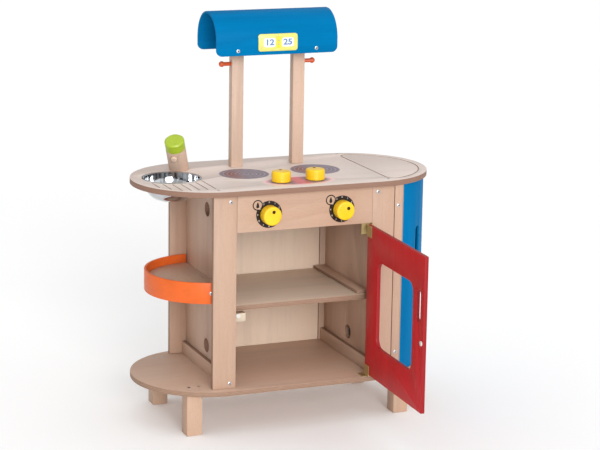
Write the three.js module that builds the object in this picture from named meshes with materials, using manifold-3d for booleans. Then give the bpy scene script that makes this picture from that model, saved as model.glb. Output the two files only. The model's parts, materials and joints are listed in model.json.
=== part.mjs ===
// A wooden toy kitchen: a cupboard with an oven door and a round-ended fridge door, a worktop with
// a sink, tap and hob, and a canopy on two posts. Millimetres, +X to the right, +Y to the back, +Z up.
// The model is drawn about the middle of the base plate, and its group is then moved so that the
// origin is on the floor under the middle of its bounding box, with the oven door standing open.

import * as THREE from 'three';
import { mergeVertices } from 'three/addons/utils/BufferGeometryUtils.js';
import Module from 'manifold-3d';

const wasm = await Module();
wasm.setup();

// ---------------------------------------------------------------- driving dimensions

const GAP = 0.3; // clearance between pieces that touch
const BOARD = 12; // plywood of the carcass
const SHEET = 5; // bent plywood
const DOOR_BOARD = 8; // plywood of the oven door

const TOP_LENGTH = 700;
const TOP_DEPTH = 344;
const END_RADIUS = TOP_DEPTH / 2;
const END_X = TOP_LENGTH / 2 - END_RADIUS; // centre of each round end

const LEG_HEIGHT = 95;
const LEG_SIDE = 36;
const LEG_INNER_X = 234;
const LEG_INNER_Y = 102;
const BASE_SURFACE = LEG_HEIGHT + BOARD;
const CARCASS_HEIGHT = 438;
const TOP_UNDERSIDE = BASE_SURFACE + CARCASS_HEIGHT;
const TOP_SURFACE = TOP_UNDERSIDE + BOARD;

const FACE_Y = 154; // front and rear faces of the stiles, from the middle
const STILE_INNER_X = 162;
const STILE_OUTER_X = 216;
const STILE_BACK_Y = FACE_Y - BOARD;
const PANEL_X = 176; // outer face of the left panel, inner face of the right one
const PANEL_HOLE_RADIUS = 16.5;
const PANEL_HOLE_Z = [164, 482];
const CLEAT_THICKNESS = 10;
const CLEAT_HEIGHT = 30;
const SHELF_CLEAT_WIDTH = 30;
const SHELF_CLEAT_HEIGHT = 7;

const APRON_BOTTOM = 460;
const SHELF_UNDERSIDE = 274;
const SHELF_FRONT_Y = -119;
const BACK_PANEL_Y = 146;
const BACK_PANEL_THICKNESS = 6;

const SINK_X = -256;
const SINK_Y = 12;
const SINK_RADIUS = 63.5;
const SINK_DEPTH = 52;
const GROOVE_WIDTH = 2.8;
const GROOVE_DEPTH = 2;
const DRAINER_FIRST_X = -203;
const DRAINER_PITCH = 18.8;
const DRAINER_COUNT = 7;
const DRAINER_EDGE_MARGIN = 12;
const DRAINER_FRONT_Y = 131;
const BOARD_GROOVE_RADIUS = 153;
const BOARD_GROOVE_X = 206;
const BOARD_GROOVE_CORNER = 20;
const BOARD_GROOVE_DEPTH = 1.2;

const TAP_BASE = new THREE.Vector3(-209, 98, TOP_SURFACE);
const TAP_DIRECTION = new THREE.Vector3(-0.286, -0.434, 0.854).normalize();
const TAP_RADIUS = 22.5;
const TAP_COLUMN_LENGTH = 65.5;
const TAP_CAP_HEIGHT = 23.5;

const POST_INNER_X = 61;
const POST_OUTER_X = 89;
const POST_FRONT_Y = 79.5;
const POST_REAR_Y = 99.5;
const POST_TOP = 905;

const CANOPY_HALF_LENGTH = 147;
const CANOPY_RADIUS = 64.5;
const CANOPY_Y = 89.5;
const CANOPY_CENTRE_Z = 853.5;
const CANOPY_BOTTOM = 822.5;
const CANOPY_CORNER = 14;
const CLOCK_WIDTH = 95;
const CLOCK_BOTTOM = 831;
const CLOCK_TOP = 870;
const CLOCK_THICKNESS = 2;
const PEG_Z = 796;

const OVEN_KNOB_X = 87;
const OVEN_KNOB_Z = 497;
const HOB_KNOB_X = { left: -39, right: 43 };
const HOB_KNOB_Y = -103;
const KNOB_RADIUS = 21.4;
const KNOB_HEIGHT = 24;
const SPINDLE_RADIUS = 3;

const OVEN_PIVOT_X = 161;
const OVEN_PIVOT_Y = -158;
const OVEN_OPEN_ANGLE = THREE.MathUtils.degToRad(88);
const OVEN_DOOR = { left: -159.6, right: 158.4, bottom: 114, top: 458.5 };
const OVEN_WINDOW = { left: -101, right: 97, bottom: 190, top: 388, corner: 22 };
const OVEN_SLOT = { left: -142, right: -120, bottom: 310, top: 382 };
const MAGNET_X = -152.5;
const MAGNET_Z = 268;
const MAGNET_RADIUS = 5.5;

const HINGE_HEIGHT = 26;
const LEAF = 1.1; // hinge leaf thickness
const KNUCKLE_RADIUS = 3;
const PIN_RADIUS = 1.2;
const OVEN_HINGE_Z = { upper: 432, lower: 109 };

const FRIDGE_RADIUS = 165;
const BATTEN_INNER_X = 217.2;
const BATTEN_OUTER_X = 237;
const FRIDGE_CLEARANCE = 1.5;
const FRIDGE_SLOT = { angle: -46.5, width: 20, bottom: 350, top: 437 };
const FRIDGE_PIVOT_X = 216.6;
const FRIDGE_PIVOT_Y = FACE_Y + 3.2;
const FRIDGE_HINGE_Z = { upper: 480, lower: 144 };

const SIDE_SHELF_SURFACE = 328;
const RAIL_RADIUS = 140;
const RAIL_BOTTOM = 299;
const RAIL_TOP = 347;

// ---------------------------------------------------------------- materials

function material(color, roughness, metalness = 0) {
  return new THREE.MeshStandardMaterial({ color, roughness, metalness });
}

const paleWood = () => material(0xdcc3ae, 0.6);
const printedTop = () => material(0xe2d1c8, 0.55);
const redStain = () => material(0xac262a, 0.45);
const blueStain = () => material(0x0a82c8, 0.45);
const orangeStain = () => material(0xf0702d, 0.45);
const greenStain = () => material(0xb2cd3c, 0.5);
const yellowLacquer = () => material(0xfad714, 0.4);
const brass = () => material(0xa08a4b, 0.35, 1);
const steel = () => material(0xc4c6c8, 0.2, 1);
const whiteMagnet = () => material(0xeceae4, 0.5);

// ---------------------------------------------------------------- making solids

function toSolid(geometry) {
  const bare = geometry.index ? geometry.clone() : geometry;
  bare.deleteAttribute('normal');
  bare.deleteAttribute('uv');
  const merged = mergeVertices(bare, 1e-4);
  return new wasm.Manifold(new wasm.Mesh({
    numProp: 3,
    vertProperties: new Float32Array(merged.attributes.position.array),
    triVerts: new Uint32Array(merged.index.array),
  }));
}

function toGeometry(solid) {
  const mesh = solid.getMesh();
  const geometry = new THREE.BufferGeometry();
  geometry.setAttribute('position', new THREE.BufferAttribute(new Float32Array(mesh.vertProperties), 3));
  geometry.setIndex(new THREE.BufferAttribute(new Uint32Array(mesh.triVerts), 1));
  geometry.computeVertexNormals();
  return geometry;
}

function cut(body, ...tools) {
  let solid = toSolid(body);
  for (const tool of tools) {
    solid = solid.subtract(toSolid(tool));
  }
  return toGeometry(solid);
}

function join(...bodies) {
  let solid = toSolid(bodies[0]);
  for (const body of bodies.slice(1)) {
    solid = solid.add(toSolid(body));
  }
  return toGeometry(solid);
}

function common(bodyA, bodyB) {
  return toGeometry(toSolid(bodyA).intersect(toSolid(bodyB)));
}

function block(x0, x1, y0, y1, z0, z1) {
  const geometry = new THREE.BoxGeometry(x1 - x0, y1 - y0, z1 - z0);
  geometry.translate((x0 + x1) / 2, (y0 + y1) / 2, (z0 + z1) / 2);
  return geometry;
}

// A flat shape drawn in X and Y, as a board lying from z up.
function lying(shape, z, thickness, curveSegments = 20) {
  const geometry = new THREE.ExtrudeGeometry(shape, { depth: thickness, bevelEnabled: false, curveSegments });
  geometry.translate(0, 0, z);
  return geometry;
}

// A shape drawn in X and Z, as a board whose front is at y.
function facing(shape, y, thickness, curveSegments = 4) {
  const geometry = new THREE.ExtrudeGeometry(shape, { depth: thickness, bevelEnabled: false, curveSegments });
  geometry.applyMatrix4(new THREE.Matrix4().makeBasis(
    new THREE.Vector3(1, 0, 0), new THREE.Vector3(0, 0, 1), new THREE.Vector3(0, -1, 0)));
  geometry.translate(0, y + thickness, 0);
  return geometry;
}

// A shape drawn in Y and Z, drawn out along X from x0 to x1.
function alongX(shape, x0, x1, curveSegments = 14) {
  const geometry = new THREE.ExtrudeGeometry(shape, { depth: x1 - x0, bevelEnabled: false, curveSegments });
  geometry.applyMatrix4(new THREE.Matrix4().makeBasis(
    new THREE.Vector3(0, 1, 0), new THREE.Vector3(0, 0, 1), new THREE.Vector3(1, 0, 0)));
  geometry.translate(x0, 0, 0);
  return geometry;
}

// A turned piece: profile points are [radius, height] and its axis runs from base along direction.
function turned(profile, base, direction, segments = 28) {
  const points = profile.map(([radius, height]) => new THREE.Vector2(radius, height));
  const geometry = new THREE.LatheGeometry(points, segments);
  const up = new THREE.Vector3(0, 1, 0);
  geometry.applyQuaternion(new THREE.Quaternion().setFromUnitVectors(up, direction));
  geometry.translate(base.x, base.y, base.z);
  return geometry;
}

function rod(radius, length, base, direction, segments = 16) {
  return turned([[0, 0], [radius, 0], [radius, length], [0, length]], base, direction, segments);
}

const AXIS_X = new THREE.Vector3(1, 0, 0);
const AXIS_Z = new THREE.Vector3(0, 0, 1);
const TOWARDS_FRONT = new THREE.Vector3(0, -1, 0);
const TOWARDS_BACK = new THREE.Vector3(0, 1, 0);

function stadium() {
  const shape = new THREE.Shape();
  shape.moveTo(-END_X, -END_RADIUS);
  shape.lineTo(END_X, -END_RADIUS);
  shape.absarc(END_X, 0, END_RADIUS, -Math.PI / 2, Math.PI / 2);
  shape.lineTo(-END_X, END_RADIUS);
  shape.absarc(-END_X, 0, END_RADIUS, Math.PI / 2, Math.PI * 1.5);
  return shape;
}

function roundedRectangle(x0, x1, y0, y1, corner) {
  const shape = new THREE.Shape();
  shape.moveTo(x0 + corner, y0);
  shape.lineTo(x1 - corner, y0);
  shape.absarc(x1 - corner, y0 + corner, corner, -Math.PI / 2, 0);
  shape.lineTo(x1, y1 - corner);
  shape.absarc(x1 - corner, y1 - corner, corner, 0, Math.PI / 2);
  shape.lineTo(x0 + corner, y1);
  shape.absarc(x0 + corner, y1 - corner, corner, Math.PI / 2, Math.PI);
  shape.lineTo(x0, y0 + corner);
  shape.absarc(x0 + corner, y0 + corner, corner, Math.PI, Math.PI * 1.5);
  return shape;
}

// The part of a ring about (cx, 0) that lies beyond the line x = edge, on the side given by sign.
function ringBeyond(cx, edge, outer, inner, sign) {
  const reachOuter = Math.acos(Math.abs(edge - cx) / outer);
  const reachInner = Math.acos(Math.abs(edge - cx) / inner);
  const middle = sign > 0 ? 0 : Math.PI;
  const shape = new THREE.Shape();
  shape.absarc(cx, 0, outer, middle - reachOuter, middle + reachOuter);
  shape.absarc(cx, 0, inner, middle + reachInner, middle - reachInner, true);
  return shape;
}

// An upside-down U in Y and Z: half a circle on straight sides that end at bottom.
function archShape(radius, bottom) {
  const shape = new THREE.Shape();
  shape.moveTo(CANOPY_Y - radius, bottom);
  shape.lineTo(CANOPY_Y + radius, bottom);
  shape.lineTo(CANOPY_Y + radius, CANOPY_CENTRE_Z);
  shape.absarc(CANOPY_Y, CANOPY_CENTRE_Z, radius, 0, Math.PI);
  return shape;
}

const kitchen = new THREE.Group();

function add(name, geometry, look, parent = kitchen) {
  const mesh = new THREE.Mesh(geometry, look);
  mesh.name = name;
  parent.add(mesh);
}

// ---------------------------------------------------------------- base plate and legs

function addBase() {
  add('base_plate', lying(stadium(), LEG_HEIGHT, BOARD), paleWood());
  for (const [side, sx] of [['left', -1], ['right', 1]]) {
    for (const [end, sy] of [['front', -1], ['rear', 1]]) {
      const x = sx * (LEG_INNER_X + LEG_SIDE / 2);
      const y = sy * (LEG_INNER_Y + LEG_SIDE / 2);
      const half = LEG_SIDE / 2;
      const leg = block(x - half, x + half, y - half, y + half, 0, LEG_HEIGHT - GAP);
      add(`leg_${end}_${side}`, leg, paleWood());
    }
  }
}

// ---------------------------------------------------------------- worktop

function drainerGrooves() {
  const grooves = [];
  for (let i = 0; i < DRAINER_COUNT; i += 1) {
    const x = DRAINER_FIRST_X - i * DRAINER_PITCH;
    const fromSink = Math.sqrt(Math.max(0, (SINK_RADIUS + 7) ** 2 - (x - SINK_X) ** 2));
    const fromEnd = Math.sqrt((END_RADIUS - DRAINER_EDGE_MARGIN) ** 2 - (x + END_X) ** 2);
    const front = -Math.min(DRAINER_FRONT_Y, fromEnd);
    grooves.push(block(x - GROOVE_WIDTH / 2, x + GROOVE_WIDTH / 2, front, SINK_Y - fromSink,
      TOP_SURFACE - GROOVE_DEPTH, TOP_SURFACE + 1));
  }
  return grooves;
}

// A D with round corners: the chopping board's outline, moved outwards by offset.
function choppingBoardOutline(offset) {
  const cornerX = BOARD_GROOVE_X + BOARD_GROOVE_CORNER;
  const cornerY = Math.sqrt((BOARD_GROOVE_RADIUS - BOARD_GROOVE_CORNER) ** 2 - (cornerX - END_X) ** 2);
  const lean = Math.atan2(cornerY, cornerX - END_X);
  const shape = new THREE.Shape();
  shape.moveTo(BOARD_GROOVE_X - offset, cornerY);
  shape.lineTo(BOARD_GROOVE_X - offset, -cornerY);
  shape.absarc(cornerX, -cornerY, BOARD_GROOVE_CORNER + offset, Math.PI, 2 * Math.PI - lean);
  shape.absarc(END_X, 0, BOARD_GROOVE_RADIUS + offset, -lean, lean);
  shape.absarc(cornerX, cornerY, BOARD_GROOVE_CORNER + offset, lean, Math.PI);
  return shape;
}

function choppingBoardGroove() {
  const half = GROOVE_WIDTH / 2;
  const floor = TOP_SURFACE - BOARD_GROOVE_DEPTH;
  return cut(
    lying(choppingBoardOutline(half), floor, BOARD_GROOVE_DEPTH + 1, 14),
    lying(choppingBoardOutline(-half), floor - 1, BOARD_GROOVE_DEPTH + 3, 14));
}

function addWorktop() {
  const centre = new THREE.Vector3(SINK_X, SINK_Y, TOP_UNDERSIDE - 1);
  const hole = rod(SINK_RADIUS, BOARD + 2, centre, AXIS_Z, 36);
  const spindleHoles = Object.values(HOB_KNOB_X).map((x) => rod(SPINDLE_RADIUS + GAP, BOARD + 2,
    new THREE.Vector3(x, HOB_KNOB_Y, TOP_UNDERSIDE - 1), AXIS_Z, 12));
  const board = cut(lying(stadium(), TOP_UNDERSIDE, BOARD), hole, ...spindleHoles,
    ...drainerGrooves(), choppingBoardGroove());
  add('worktop', board, printedTop());
}

function addSink() {
  const wall = 1.2;
  const outer = SINK_RADIUS - 0.6;
  const inner = outer - wall;
  const floor = wall - SINK_DEPTH;
  const outside = [[0, -SINK_DEPTH], [33, -SINK_DEPTH], [47, -49], [56.5, -39], [61, -24], [outer, -6], [outer, GAP]];
  const lip = [[outer + 4, GAP], [outer + 4.6, GAP + 0.8], [outer + 3.9, GAP + wall], [inner, GAP + wall]];
  const inside = [[inner, -6], [59.9, -23.6], [55.7, -38], [46.6, -47.8], [33, floor], [0, floor]];
  const bowl = turned([...outside, ...lip, ...inside], new THREE.Vector3(SINK_X, SINK_Y, TOP_SURFACE), AXIS_Z, 36);
  add('sink_bowl', bowl, steel());
}

// ---------------------------------------------------------------- tap

function addTap() {
  const onAxis = (length) => TAP_BASE.clone().addScaledVector(TAP_DIRECTION, length);
  const spindleStart = TAP_COLUMN_LENGTH - 22;
  const spindleLength = 38;
  const longColumn = rod(TAP_RADIUS, TAP_COLUMN_LENGTH + 40, onAxis(-40), TAP_DIRECTION, 28);
  const below = block(TAP_BASE.x - 80, TAP_BASE.x + 80, TAP_BASE.y - 80, TAP_BASE.y + 80,
    TOP_SURFACE - 60, TOP_SURFACE + GAP);
  const spindleHole = rod(4 + GAP, spindleLength + 10, onAxis(spindleStart - GAP), TAP_DIRECTION, 12);

  const across = new THREE.Vector3().crossVectors(TAP_DIRECTION, AXIS_Z).normalize();
  const outward = new THREE.Vector3().crossVectors(across, TAP_DIRECTION).normalize().negate();
  const spoutRadius = 7;
  const spoutLength = 14.5;
  const spoutBase = onAxis(53).addScaledVector(outward, TAP_RADIUS - 9);
  const spoutHole = rod(spoutRadius + GAP, 40, spoutBase.clone().addScaledVector(outward, -GAP), outward, 16);

  add('tap_column', cut(longColumn, below, spindleHole, spoutHole), paleWood());
  const spoutProfile = [[0, 0], [spoutRadius, 0], [spoutRadius, spoutLength - 1.5],
    [spoutRadius - 1.5, spoutLength], [0, spoutLength]];
  add('tap_spout', turned(spoutProfile, spoutBase, outward, 16), paleWood());
  add('tap_spindle', rod(4, spindleLength, onAxis(spindleStart), TAP_DIRECTION, 12), paleWood());

  const capProfile = [[0, 0], [TAP_RADIUS - 1, 0], [TAP_RADIUS, 1], [TAP_RADIUS, TAP_CAP_HEIGHT - 3],
    [TAP_RADIUS - 3, TAP_CAP_HEIGHT], [0, TAP_CAP_HEIGHT]];
  const cap = turned(capProfile, onAxis(TAP_COLUMN_LENGTH + GAP), TAP_DIRECTION, 28);
  const capHole = rod(4 + GAP, spindleStart + spindleLength - TAP_COLUMN_LENGTH + 10,
    onAxis(TAP_COLUMN_LENGTH - 9.5), TAP_DIRECTION, 12);
  add('tap_cap', cut(cap, capHole), greenStain());
}

// ---------------------------------------------------------------- carcass

function panelHoles(x) {
  return PANEL_HOLE_Z.map((z) => rod(PANEL_HOLE_RADIUS, BOARD + 2, new THREE.Vector3(x - 1, 0, z), AXIS_X, 24));
}

function addCarcass() {
  const bottom = BASE_SURFACE + GAP;
  const top = TOP_UNDERSIDE - GAP;
  for (const [side, sx] of [['left', -1], ['right', 1]]) {
    const x0 = Math.min(sx * STILE_INNER_X, sx * STILE_OUTER_X);
    const x1 = Math.max(sx * STILE_INNER_X, sx * STILE_OUTER_X);
    add(`stile_front_${side}`, block(x0, x1, -FACE_Y, -STILE_BACK_Y, bottom, top), paleWood());
    add(`stile_rear_${side}`, block(x0, x1, STILE_BACK_Y, FACE_Y, bottom, top), paleWood());
  }
  const panelEnd = STILE_BACK_Y - GAP;
  const leftPanel = block(-PANEL_X, -PANEL_X + BOARD, -panelEnd, panelEnd, bottom, top);
  add('side_panel_left', cut(leftPanel, ...panelHoles(-PANEL_X)), paleWood());
  const rightPanel = block(PANEL_X, PANEL_X + BOARD, -panelEnd, panelEnd, bottom, top);
  add('side_panel_right', cut(rightPanel, ...panelHoles(PANEL_X)), paleWood());

  const cleatTop = BASE_SURFACE + CLEAT_HEIGHT;
  for (const [side, face] of [['left', -PANEL_X], ['right', PANEL_X]]) {
    const cleat = block(face - CLEAT_THICKNESS, face - GAP, -panelEnd, panelEnd, bottom, cleatTop);
    add(`base_cleat_${side}`, cleat, paleWood());
  }

  const inner = STILE_INNER_X - GAP;
  add('back_panel', block(-inner, inner, BACK_PANEL_Y, BACK_PANEL_Y + BACK_PANEL_THICKNESS, bottom, top),
    paleWood());
  add('middle_shelf', block(-PANEL_X + BOARD + GAP, PANEL_X - GAP, SHELF_FRONT_Y, panelEnd,
    SHELF_UNDERSIDE, SHELF_UNDERSIDE + BOARD), paleWood());
  const shelfSurface = SHELF_UNDERSIDE + BOARD + GAP;
  add('shelf_cleat_right', block(PANEL_X - SHELF_CLEAT_WIDTH, PANEL_X - GAP, SHELF_FRONT_Y + 4, panelEnd,
    shelfSurface, shelfSurface + SHELF_CLEAT_HEIGHT), paleWood());
}

// ---------------------------------------------------------------- control panel and knobs

// The same turned knob is used on the control panel and on the hob.
function makeKnob(seat, direction) {
  const profile = [[0, 0], [KNOB_RADIUS - 1, 0], [KNOB_RADIUS, 1], [KNOB_RADIUS, KNOB_HEIGHT - 4],
    [KNOB_RADIUS - 1.2, KNOB_HEIGHT - 1.4], [KNOB_RADIUS - 4, KNOB_HEIGHT], [0, KNOB_HEIGHT]];
  const bore = rod(SPINDLE_RADIUS + GAP, 15, seat.clone().addScaledVector(direction, -1), direction, 12);
  return cut(turned(profile, seat, direction, 24), bore);
}

function addControls() {
  const inner = STILE_INNER_X - GAP;
  const knobs = [['left', -1], ['right', 1]];
  const holes = knobs.map(([, sx]) => rod(SPINDLE_RADIUS + GAP, BOARD + 2,
    new THREE.Vector3(sx * OVEN_KNOB_X, -FACE_Y - 1, OVEN_KNOB_Z), TOWARDS_BACK, 12));
  const panel = block(-inner, inner, -FACE_Y, -STILE_BACK_Y, APRON_BOTTOM, TOP_UNDERSIDE - GAP);
  add('control_panel', cut(panel, ...holes), paleWood());

  const knobGap = 0.8;
  const spindleLength = BOARD + 3 + 13;
  for (const [side, sx] of knobs) {
    const seat = new THREE.Vector3(sx * OVEN_KNOB_X, -FACE_Y - knobGap, OVEN_KNOB_Z);
    add(`oven_knob_${side}`, makeKnob(seat, TOWARDS_FRONT), yellowLacquer());
    const tail = seat.clone().setY(-STILE_BACK_Y + 3);
    add(`oven_knob_spindle_${side}`, rod(SPINDLE_RADIUS, spindleLength, tail, TOWARDS_FRONT, 12), steel());

    const hobSeat = new THREE.Vector3(HOB_KNOB_X[side], HOB_KNOB_Y, TOP_SURFACE + knobGap);
    add(`hob_knob_${side}`, makeKnob(hobSeat, AXIS_Z), yellowLacquer());
    const hobTail = hobSeat.clone().setZ(TOP_UNDERSIDE - 3);
    add(`hob_knob_spindle_${side}`, rod(SPINDLE_RADIUS, spindleLength, hobTail, AXIS_Z, 12), steel());
  }
}

// ---------------------------------------------------------------- side shelf

function addSideShelf() {
  const edge = -PANEL_X - GAP;
  const inner = RAIL_RADIUS - SHEET;
  const rail = ringBeyond(-END_X, edge - 2, RAIL_RADIUS, inner, -1);
  add('side_shelf_rail', lying(rail, RAIL_BOTTOM, RAIL_TOP - RAIL_BOTTOM, 20), orangeStain());

  const halfDisc = new THREE.Shape();
  halfDisc.absarc(-END_X, 0, inner - GAP, Math.PI / 2, Math.PI * 1.5);
  halfDisc.lineTo(edge, -(inner - GAP));
  halfDisc.lineTo(edge, inner - GAP);
  add('side_shelf', lying(halfDisc, SIDE_SHELF_SURFACE - BOARD, BOARD, 20), paleWood());
  add('side_shelf_cleat', block(-PANEL_X - BOARD, edge, -60, 60,
    SIDE_SHELF_SURFACE - BOARD - 20, SIDE_SHELF_SURFACE - BOARD - GAP), paleWood());
}

// ---------------------------------------------------------------- hinges

// A knuckle tube of a hinge, standing on z about the pin at (x, y).
function knuckle(x, y, z, height) {
  return rod(KNUCKLE_RADIUS, height, new THREE.Vector3(x, y, z), AXIS_Z, 12);
}

// The pin is fast in the frame leaf's knuckles, so those are solid; the door leaf's knuckle is bored.
function frameKnuckles(x, y, z) {
  const third = HINGE_HEIGHT / 3;
  return join(
    rod(PIN_RADIUS, HINGE_HEIGHT, new THREE.Vector3(x, y, z), AXIS_Z, 12),
    knuckle(x, y, z, third - GAP),
    knuckle(x, y, z + 2 * third + GAP, third - GAP));
}

function doorKnuckle(x, y, z, ...leafParts) {
  const third = HINGE_HEIGHT / 3;
  const bore = rod(PIN_RADIUS + GAP, third + 2, new THREE.Vector3(x, y, z + third - 1), AXIS_Z, 12);
  return cut(join(...leafParts, knuckle(x, y, z + third, third)), bore);
}

function addOvenHinge(name, z, door) {
  const x = OVEN_PIVOT_X;
  const y = OVEN_PIVOT_Y;
  const third = HINGE_HEIGHT / 3;
  const stileLeafX = STILE_INNER_X - GAP - LEAF;
  const clearY = y + KNUCKLE_RADIUS + 0.4;
  const leafBack = -STILE_BACK_Y - 0.7;
  const stileLeaf = block(stileLeafX, stileLeafX + LEAF, clearY, leafBack, z, z + HINGE_HEIGHT);
  const tabs = [z, z + 2 * third + GAP].map((from) => block(stileLeafX, stileLeafX + LEAF, y, clearY + 1,
    from, from + third - GAP));
  const flange = name === 'upper'
    ? block(x - 20, stileLeafX + LEAF, leafBack - LEAF, leafBack, z, z + HINGE_HEIGHT)
    : block(x - 22, stileLeafX + LEAF, -END_RADIUS + 1, leafBack, BASE_SURFACE + GAP, BASE_SURFACE + GAP + LEAF);
  const foot = name === 'upper'
    ? []
    : [block(stileLeafX, stileLeafX + LEAF, clearY, leafBack, BASE_SURFACE + GAP, z + 1)];
  add(`oven_hinge_${name}_frame_leaf`, join(stileLeaf, ...tabs, flange, ...foot, frameKnuckles(x, y, z)), brass());

  const doorBackLeafY = -FACE_Y + DOOR_BOARD + GAP;
  const wrapX = OVEN_DOOR.right + GAP;
  const wrap = block(wrapX, wrapX + LEAF, clearY, doorBackLeafY + LEAF, z, z + HINGE_HEIGHT);
  const wrapTab = block(wrapX, wrapX + LEAF, y, clearY + 1, z + third, z + 2 * third);
  const inside = block(wrapX - 26, wrapX + LEAF, doorBackLeafY, doorBackLeafY + LEAF, z, z + HINGE_HEIGHT);
  const leaf = doorKnuckle(x, y, z, wrap, wrapTab, inside);
  leaf.translate(-x, -y, 0);
  add(`oven_hinge_${name}_door_leaf`, leaf, brass(), door);
}

function addFridgeHinge(name, z) {
  const x = FRIDGE_PIVOT_X;
  const y = FRIDGE_PIVOT_Y;
  const leafY = FACE_Y + GAP;
  const third = HINGE_HEIGHT / 3;
  const leafEdge = KNUCKLE_RADIUS + 0.5;
  const frameTabs = [z, z + 2 * third + GAP].map((from) => block(x - leafEdge - 1, x, leafY, leafY + LEAF,
    from, from + third - GAP));
  const frameLeaf = block(STILE_OUTER_X - 17, x - leafEdge, leafY, leafY + LEAF, z, z + HINGE_HEIGHT);
  add(`fridge_hinge_${name}_frame_leaf`, join(frameLeaf, ...frameTabs, frameKnuckles(x, y, z)), brass());

  const doorTab = block(x, x + leafEdge + 1, leafY, leafY + LEAF, z + third, z + 2 * third);
  const doorLeaf = block(x + leafEdge, BATTEN_OUTER_X - 1, leafY, leafY + LEAF, z, z + HINGE_HEIGHT);
  add(`fridge_hinge_${name}_door_leaf`, doorKnuckle(x, y, z, doorLeaf, doorTab), brass());
}

// ---------------------------------------------------------------- oven door, drawn shut and swung open

function addOvenDoor() {
  const door = new THREE.Group();
  door.position.set(OVEN_PIVOT_X, OVEN_PIVOT_Y, 0);
  door.rotation.z = OVEN_OPEN_ANGLE;
  kitchen.add(door);

  const { left, right, bottom, top } = OVEN_DOOR;
  const window = OVEN_WINDOW;
  const slot = OVEN_SLOT;
  const leafShape = roundedRectangle(left, right, bottom, top, 2);
  leafShape.holes.push(roundedRectangle(window.left, window.right, window.bottom, window.top, window.corner));
  leafShape.holes.push(roundedRectangle(slot.left, slot.right, slot.bottom, slot.top,
    (slot.right - slot.left) / 2 - 0.1));
  const leaf = facing(leafShape, -FACE_Y, DOOR_BOARD);
  leaf.translate(-OVEN_PIVOT_X, -OVEN_PIVOT_Y, 0);
  add('oven_door', leaf, redStain(), door);

  const magnetBack = new THREE.Vector3(MAGNET_X, -FACE_Y + DOOR_BOARD + GAP, MAGNET_Z);
  const magnet = rod(MAGNET_RADIUS, 2.5, magnetBack, TOWARDS_BACK, 24);
  magnet.translate(-OVEN_PIVOT_X, -OVEN_PIVOT_Y, 0);
  add('door_magnet', magnet, whiteMagnet(), door);

  for (const [name, z] of Object.entries(OVEN_HINGE_Z)) {
    addOvenHinge(name, z, door);
  }
}

function addCatch() {
  const blockFront = -STILE_BACK_Y + 2.2;
  add('catch_block', block(-PANEL_X + BOARD + GAP, -134, blockFront, SHELF_FRONT_Y - GAP,
    SHELF_UNDERSIDE - 20, SHELF_UNDERSIDE - GAP), paleWood());
  const disc = rod(MAGNET_RADIUS, 2.3, new THREE.Vector3(MAGNET_X, blockFront - GAP, MAGNET_Z), TOWARDS_FRONT, 24);
  add('catch_magnet', disc, whiteMagnet());
}

// ---------------------------------------------------------------- fridge door

function addFridgeDoor() {
  const bottom = BASE_SURFACE + FRIDGE_CLEARANCE;
  const top = TOP_UNDERSIDE - FRIDGE_CLEARANCE;
  const ring = ringBeyond(END_X, BATTEN_OUTER_X + GAP, FRIDGE_RADIUS, FRIDGE_RADIUS - SHEET, 1);
  const slot = facing(roundedRectangle(-FRIDGE_SLOT.width / 2, FRIDGE_SLOT.width / 2, FRIDGE_SLOT.bottom,
    FRIDGE_SLOT.top, FRIDGE_SLOT.width / 2 - 0.1), -FRIDGE_RADIUS - 10, 30);
  slot.rotateZ(THREE.MathUtils.degToRad(FRIDGE_SLOT.angle + 90));
  slot.translate(END_X, 0, 0);
  add('fridge_door_shell', cut(lying(ring, bottom, top - bottom, 22), slot), blueStain());
  add('fridge_door_front_batten', block(BATTEN_INNER_X, BATTEN_OUTER_X, -FACE_Y, -STILE_BACK_Y, bottom, top),
    paleWood());
  add('fridge_door_rear_batten', block(BATTEN_INNER_X, BATTEN_OUTER_X, STILE_BACK_Y, FACE_Y, bottom, top),
    paleWood());
  for (const [name, z] of Object.entries(FRIDGE_HINGE_Z)) {
    addFridgeHinge(name, z);
  }
}

// ---------------------------------------------------------------- posts, pegs and canopy

function addPosts() {
  for (const [side, sx] of [['left', -1], ['right', 1]]) {
    const outward = new THREE.Vector3(sx, 0, 0);
    const x0 = Math.min(sx * POST_INNER_X, sx * POST_OUTER_X);
    const x1 = Math.max(sx * POST_INNER_X, sx * POST_OUTER_X);
    const post = block(x0, x1, POST_FRONT_Y, POST_REAR_Y, TOP_SURFACE + GAP, POST_TOP);
    const tenonStart = new THREE.Vector3(sx * (POST_OUTER_X - 14), CANOPY_Y, PEG_Z);
    const tenonHole = rod(4 + GAP, 20, tenonStart.clone().addScaledVector(outward, -GAP), outward, 16);
    add(`post_${side}`, cut(post, tenonHole), paleWood());

    const shaft = [[0, 0], [4, 0], [4, 14 + GAP], [4.6, 14 + GAP], [4.6, 31]];
    const ball = [];
    for (let step = 0; step <= 6; step += 1) {
      const angle = THREE.MathUtils.lerp(2.25, 0, step / 6);
      ball.push([6.8 * Math.sin(angle), 36 - 6.8 * Math.cos(Math.PI - angle)]);
    }
    add(`peg_${side}`, turned([...shaft, ...ball.slice(1, 6), [0, 42.8]], tenonStart, outward, 16), orangeStain());
  }
}

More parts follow.
